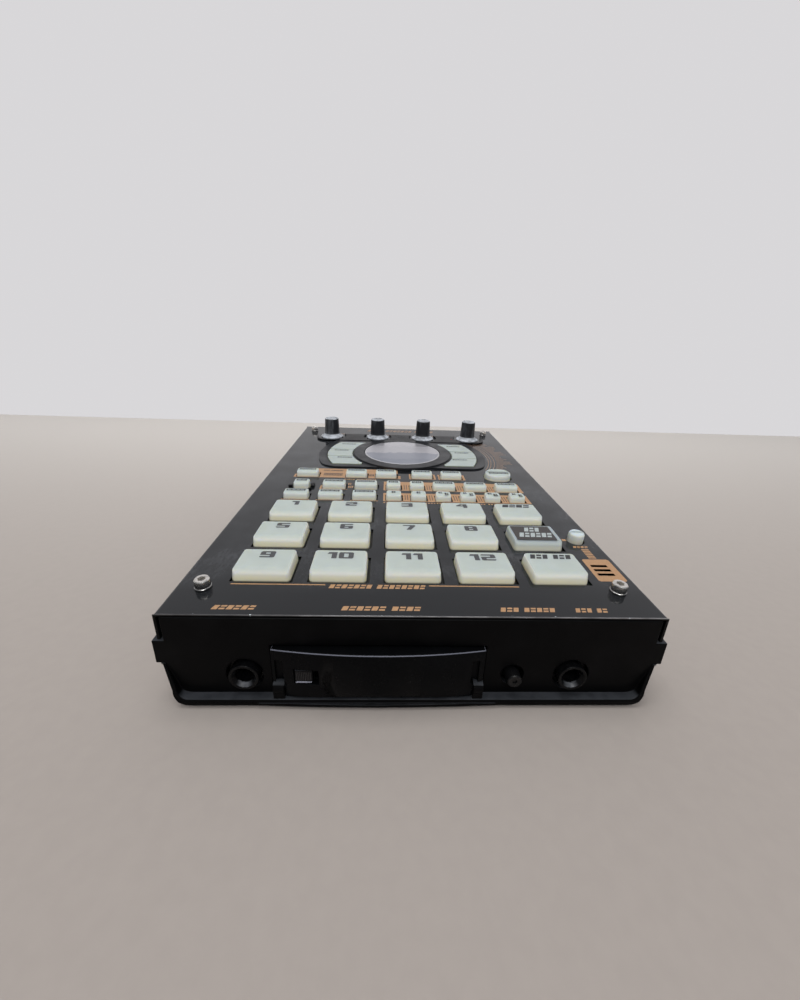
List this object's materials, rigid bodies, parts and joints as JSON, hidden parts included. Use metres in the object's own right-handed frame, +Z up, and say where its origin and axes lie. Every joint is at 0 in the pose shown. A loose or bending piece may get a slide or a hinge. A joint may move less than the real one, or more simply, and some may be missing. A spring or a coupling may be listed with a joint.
{
  "type": "compact sampler",
  "caption": "Wedge-shaped tabletop sampler with pads, small keys, a round display between fan-shaped keys, tall knobs and a card door in the front.",
  "frame": {"origin": "middle of the case's box, on the ground under the feet", "axes": "+X to the player's right, +Y from the card door to the rear sockets, +Z up"},
  "size_m": [0.1786, 0.26, 0.0727],
  "materials": {
    "painted_steel": "semi-gloss dark charcoal paint",
    "case_plastic": "fine-textured black",
    "rubber": "matt",
    "screw_steel": "bright plated",
    "gloss_black": "glossy black",
    "bezel_plastic": "satin dark grey",
    "lens": "clear polished",
    "lcd": "silvery grey display",
    "key_rubber": "translucent pale green silicone",
    "board": "green solder resist",
    "socket_plastic": "moulded black",
    "socket_metal": "pressed metal",
    "door_plastic": "semi-gloss black",
    "pale_plastic": "moulded pale grey",
    "knob_rubber": "dark soft-touch with pale dusty skirt"
  },
  "bodies": {
    "case": {"top_cover": "painted_steel", "lower_case": "case_plastic", "rubber_feet": "rubber", "corner_screws": "screw_steel", "battery_cover": "case_plastic", "battery_contacts": "screw_steel", "key_guard": "gloss_black", "display_bezel": "bezel_plastic", "display_lens": "lens", "lcd_module": "lcd", "knob_strip": "gloss_black", "key_sheet": "key_rubber", "panel_board": "board", "main_board": "board", "rotary_pots": "socket_plastic", "front_jacks": "socket_plastic", "rca_jacks": "socket_metal", "midi_socket": "socket_plastic", "dc_inlet": "socket_plastic", "switch_housing": "case_plastic", "card_socket": "socket_metal", "mic_capsule": "socket_metal"},
    "card_door": {"card_door": "door_plastic"},
    "door_latch": {"door_latch": "gloss_black"},
    "power_rocker": {"power_rocker": "gloss_black"},
    "eject_button": {"eject_button": "pale_plastic"},
    "mic_level_knob": {"mic_level_knob": "gloss_black"},
    "knob_1": {"knob_1": "knob_rubber"},
    "knob_2": {"knob_2": "knob_rubber"},
    "knob_3": {"knob_3": "knob_rubber"},
    "knob_4": {"knob_4": "knob_rubber"},
    "pad_1": {"pad_1": "key_rubber"},
    "pad_2": {"pad_2": "key_rubber"},
    "pad_3": {"pad_3": "key_rubber"},
    "pad_4": {"pad_4": "key_rubber"},
    "pad_5": {"pad_5": "key_rubber"},
    "pad_6": {"pad_6": "key_rubber"},
    "pad_7": {"pad_7": "key_rubber"},
    "pad_8": {"pad_8": "key_rubber"},
    "pad_9": {"pad_9": "key_rubber"},
    "pad_10": {"pad_10": "key_rubber"},
    "pad_11": {"pad_11": "key_rubber"},
    "pad_12": {"pad_12": "key_rubber"},
    "pad_side_far": {"pad_side_far": "key_rubber"},
    "pad_side_mid": {"pad_side_mid": "key_rubber"},
    "pad_side_near": {"pad_side_near": "key_rubber"},
    "fan_left_near": {"fan_left_near": "key_rubber"},
    "fan_left_mid": {"fan_left_mid": "key_rubber"},
    "fan_left_far": {"fan_left_far": "key_rubber"},
    "fan_right_near": {"fan_right_near": "key_rubber"},
    "fan_right_mid": {"fan_right_mid": "key_rubber"},
    "fan_right_far": {"fan_right_far": "key_rubber"},
    "oval_key": {"oval_key": "key_rubber"},
    "round_key": {"round_key": "key_rubber"},
    "row_1_left_keys": {"row_1_left_keys": "key_rubber"},
    "row_1_right_keys": {"row_1_right_keys": "key_rubber"},
    "row_2_left_keys": {"row_2_left_keys": "key_rubber"},
    "row_2_right_keys": {"row_2_right_keys": "key_rubber"},
    "row_3_left_keys": {"row_3_left_keys": "key_rubber"},
    "row_3_right_keys": {"row_3_right_keys": "key_rubber"}
  },
  "joints": [
    {"name": "card_door_hinge", "type": "hinge", "parent": "case", "child": "card_door", "pos_m": [-0.01265, -0.1264, 0.0078], "axis": [1, 0, 0], "range_deg": [0, 75]},
    {"name": "door_latch_slide", "type": "slide", "parent": "card_door", "child": "door_latch", "axis": [1, 0, 0], "range_m": [0, 0.002], "stiffness_N_per_m": 150, "springref_m": -0.001},
    {"name": "knob_1_turn", "type": "hinge", "parent": "case", "child": "knob_1", "pos_m": [-0.05865, 0.09616, 0.05585], "axis": [0, -0.0872, 0.9962], "range_deg": [-150, 150]},
    {"name": "knob_2_turn", "type": "hinge", "parent": "case", "child": "knob_2", "pos_m": [-0.01955, 0.09616, 0.05585], "axis": [0, -0.0872, 0.9962], "range_deg": [-150, 150]},
    {"name": "knob_3_turn", "type": "hinge", "parent": "case", "child": "knob_3", "pos_m": [0.01955, 0.09616, 0.05585], "axis": [0, -0.0872, 0.9962], "range_deg": [-150, 150]},
    {"name": "knob_4_turn", "type": "hinge", "parent": "case", "child": "knob_4", "pos_m": [0.05865, 0.09616, 0.05585], "axis": [0, -0.0872, 0.9962], "range_deg": [-150, 150]},
    {"name": "mic_level_turn", "type": "hinge", "parent": "case", "child": "mic_level_knob", "pos_m": [0.0353, -0.12, 0.012], "axis": [0, 1, 0], "range_deg": [-150, 150]},
    {"name": "power_rocker_tilt", "type": "hinge", "parent": "case", "child": "power_rocker", "pos_m": [0.061, 0.119, 0.031], "axis": [1, 0, 0], "range_deg": [0, 20]},
    {"name": "eject_button_press", "type": "slide", "parent": "case", "child": "eject_button", "axis": [0, 1, 0], "range_m": [0, 0.0025], "stiffness_N_per_m": 150, "springref_m": -0.001},
    {"name": "pad_1_press", "type": "slide", "parent": "case", "child": "pad_1", "axis": [0, 0.0872, -0.9962], "range_m": [0, 0.0015], "stiffness_N_per_m": 300, "springref_m": -0.0008},
    {"name": "pad_side_mid_press", "type": "slide", "parent": "case", "child": "pad_side_mid", "axis": [0, 0.0872, -0.9962], "range_m": [0, 0.0015], "stiffness_N_per_m": 300, "springref_m": -0.0008},
    {"name": "fan_left_near_press", "type": "slide", "parent": "case", "child": "fan_left_near", "axis": [0, 0.0872, -0.9962], "range_m": [0, 0.0015], "stiffness_N_per_m": 300, "springref_m": -0.0008},
    {"name": "fan_right_far_press", "type": "slide", "parent": "case", "child": "fan_right_far", "axis": [0, 0.0872, -0.9962], "range_m": [0, 0.0015], "stiffness_N_per_m": 300, "springref_m": -0.0008},
    {"name": "oval_key_press", "type": "slide", "parent": "case", "child": "oval_key", "axis": [0, 0.0872, -0.9962], "range_m": [0, 0.0015], "stiffness_N_per_m": 300, "springref_m": -0.0008},
    {"name": "round_key_press", "type": "slide", "parent": "case", "child": "round_key", "axis": [0, 0.0872, -0.9962], "range_m": [0, 0.0015], "stiffness_N_per_m": 300, "springref_m": -0.0008},
    {"name": "row_1_left_keys_press", "type": "slide", "parent": "case", "child": "row_1_left_keys", "axis": [0, 0.0872, -0.9962], "range_m": [0, 0.0015], "stiffness_N_per_m": 300, "springref_m": -0.0008},
    {"name": "row_1_right_keys_press", "type": "slide", "parent": "case", "child": "row_1_right_keys", "axis": [0, 0.0872, -0.9962], "range_m": [0, 0.0015], "stiffness_N_per_m": 300, "springref_m": -0.0008},
    {"name": "row_2_left_keys_press", "type": "slide", "parent": "case", "child": "row_2_left_keys", "axis": [0, 0.0872, -0.9962], "range_m": [0, 0.0015], "stiffness_N_per_m": 300, "springref_m": -0.0008},
    {"name": "row_2_right_keys_press", "type": "slide", "parent": "case", "child": "row_2_right_keys", "axis": [0, 0.0872, -0.9962], "range_m": [0, 0.0015], "stiffness_N_per_m": 300, "springref_m": -0.0008},
    {"name": "row_3_left_keys_press", "type": "slide", "parent": "case", "child": "row_3_left_keys", "axis": [0, 0.0872, -0.9962], "range_m": [0, 0.0015], "stiffness_N_per_m": 300, "springref_m": -0.0008},
    {"name": "row_3_right_keys_press", "type": "slide", "parent": "case", "child": "row_3_right_keys", "axis": [0, 0.0872, -0.9962], "range_m": [0, 0.0015], "stiffness_N_per_m": 300, "springref_m": -0.0008},
    {"name": "pad_2_press", "type": "slide", "parent": "case", "child": "pad_2", "axis": [0, 0.0872, -0.9962], "range_m": [0, 0.0015], "stiffness_N_per_m": 300, "springref_m": -0.0008},
    {"name": "pad_3_press", "type": "slide", "parent": "case", "child": "pad_3", "axis": [0, 0.0872, -0.9962], "range_m": [0, 0.0015], "stiffness_N_per_m": 300, "springref_m": -0.0008},
    {"name": "pad_4_press", "type": "slide", "parent": "case", "child": "pad_4", "axis": [0, 0.0872, -0.9962], "range_m": [0, 0.0015], "stiffness_N_per_m": 300, "springref_m": -0.0008},
    {"name": "pad_5_press", "type": "slide", "parent": "case", "child": "pad_5", "axis": [0, 0.0872, -0.9962], "range_m": [0, 0.0015], "stiffness_N_per_m": 300, "springref_m": -0.0008},
    {"name": "pad_6_press", "type": "slide", "parent": "case", "child": "pad_6", "axis": [0, 0.0872, -0.9962], "range_m": [0, 0.0015], "stiffness_N_per_m": 300, "springref_m": -0.0008},
    {"name": "pad_7_press", "type": "slide", "parent": "case", "child": "pad_7", "axis": [0, 0.0872, -0.9962], "range_m": [0, 0.0015], "stiffness_N_per_m": 300, "springref_m": -0.0008},
    {"name": "pad_8_press", "type": "slide", "parent": "case", "child": "pad_8", "axis": [0, 0.0872, -0.9962], "range_m": [0, 0.0015], "stiffness_N_per_m": 300, "springref_m": -0.0008},
    {"name": "pad_9_press", "type": "slide", "parent": "case", "child": "pad_9", "axis": [0, 0.0872, -0.9962], "range_m": [0, 0.0015], "stiffness_N_per_m": 300, "springref_m": -0.0008},
    {"name": "pad_10_press", "type": "slide", "parent": "case", "child": "pad_10", "axis": [0, 0.0872, -0.9962], "range_m": [0, 0.0015], "stiffness_N_per_m": 300, "springref_m": -0.0008},
    {"name": "pad_11_press", "type": "slide", "parent": "case", "child": "pad_11", "axis": [0, 0.0872, -0.9962], "range_m": [0, 0.0015], "stiffness_N_per_m": 300, "springref_m": -0.0008},
    {"name": "pad_12_press", "type": "slide", "parent": "case", "child": "pad_12", "axis": [0, 0.0872, -0.9962], "range_m": [0, 0.0015], "stiffness_N_per_m": 300, "springref_m": -0.0008},
    {"name": "pad_side_far_press", "type": "slide", "parent": "case", "child": "pad_side_far", "axis": [0, 0.0872, -0.9962], "range_m": [0, 0.0015], "stiffness_N_per_m": 300, "springref_m": -0.0008},
    {"name": "pad_side_near_press", "type": "slide", "parent": "case", "child": "pad_side_near", "axis": [0, 0.0872, -0.9962], "range_m": [0, 0.0015], "stiffness_N_per_m": 300, "springref_m": -0.0008},
    {"name": "fan_left_mid_press", "type": "slide", "parent": "case", "child": "fan_left_mid", "axis": [0, 0.0872, -0.9962], "range_m": [0, 0.0015], "stiffness_N_per_m": 300, "springref_m": -0.0008},
    {"name": "fan_left_far_press", "type": "slide", "parent": "case", "child": "fan_left_far", "axis": [0, 0.0872, -0.9962], "range_m": [0, 0.0015], "stiffness_N_per_m": 300, "springref_m": -0.0008},
    {"name": "fan_right_near_press", "type": "slide", "parent": "case", "child": "fan_right_near", "axis": [0, 0.0872, -0.9962], "range_m": [0, 0.0015], "stiffness_N_per_m": 300, "springref_m": -0.0008},
    {"name": "fan_right_mid_press", "type": "slide", "parent": "case", "child": "fan_right_mid", "axis": [0, 0.0872, -0.9962], "range_m": [0, 0.0015], "stiffness_N_per_m": 300, "springref_m": -0.0008}
  ]
}
